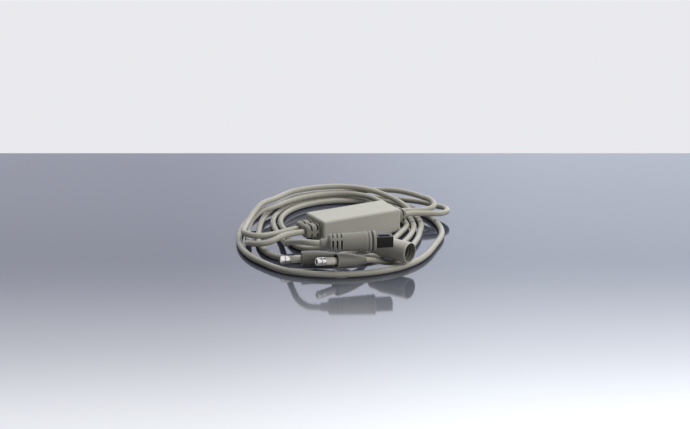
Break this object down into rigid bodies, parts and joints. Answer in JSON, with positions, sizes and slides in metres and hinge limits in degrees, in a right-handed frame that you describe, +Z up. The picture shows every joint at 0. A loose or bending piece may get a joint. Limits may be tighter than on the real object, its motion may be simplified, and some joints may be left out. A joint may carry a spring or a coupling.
{
  "type": "salt chlorine generator cell cord set",
  "caption": "Cell cord set for a pool salt chlorine generator: inline moulded module with coiled cords to a tapered plug, a round hooded socket and booted socket terminals.",
  "frame": {"origin": "centre of the underside of the inline module, on the floor", "axes": "+X along the module toward the plug and socket cords, +Z up"},
  "size_m": [0.2433, 0.254, 0.0407],
  "materials": {
    "shell": "moulded matt grey-beige",
    "moulded": "moulded soft grey",
    "cord": "satin grey jacket",
    "seal": "matt black",
    "screw": "plated",
    "board": "green laminate",
    "relay": "blue case",
    "capacitor": "dark sleeve",
    "contact": "bright",
    "wire": "red insulation",
    "insert": "black",
    "boot": "satin grey",
    "sleeve": "light grey",
    "terminal": "bright plated"
  },
  "bodies": {
    "cord_set": {"module_cover": "shell", "module_base": "shell", "module_gasket": "seal", "module_screws": "screw", "circuit_board": "board", "board_relay": "relay", "board_capacitors": "capacitor", "current_shunt": "contact", "board_wires": "wire", "left_strain_relief": "moulded", "right_strain_relief": "moulded", "plug_cord_lead": "cord", "plug_cord_coil": "cord", "plug_cord_tail": "cord", "socket_cord_lead": "cord", "socket_cord_coil": "cord", "socket_cord_tail": "cord", "terminal_cord_1": "cord", "terminal_cord_2": "cord", "plug_body": "moulded", "plug_seal": "seal", "plug_insert": "insert", "plug_contacts": "contact", "socket_hood": "moulded", "socket_insert": "insert", "socket_contacts": "contact", "terminal_sleeve_1": "sleeve", "terminal_sleeve_2": "sleeve", "terminal_1": "terminal", "terminal_2": "terminal"},
    "boot_1": {"boot_1": "boot"},
    "boot_2": {"boot_2": "boot"}
  },
  "joints": [
    {"name": "boot_1_slide", "type": "slide", "parent": "cord_set", "child": "boot_1", "axis": [-0.9511, 0.309, 0], "range_m": [0, 0.02]},
    {"name": "boot_2_slide", "type": "slide", "parent": "cord_set", "child": "boot_2", "axis": [-0.9903, 0, 0.1392], "range_m": [0, 0.02]}
  ]
}
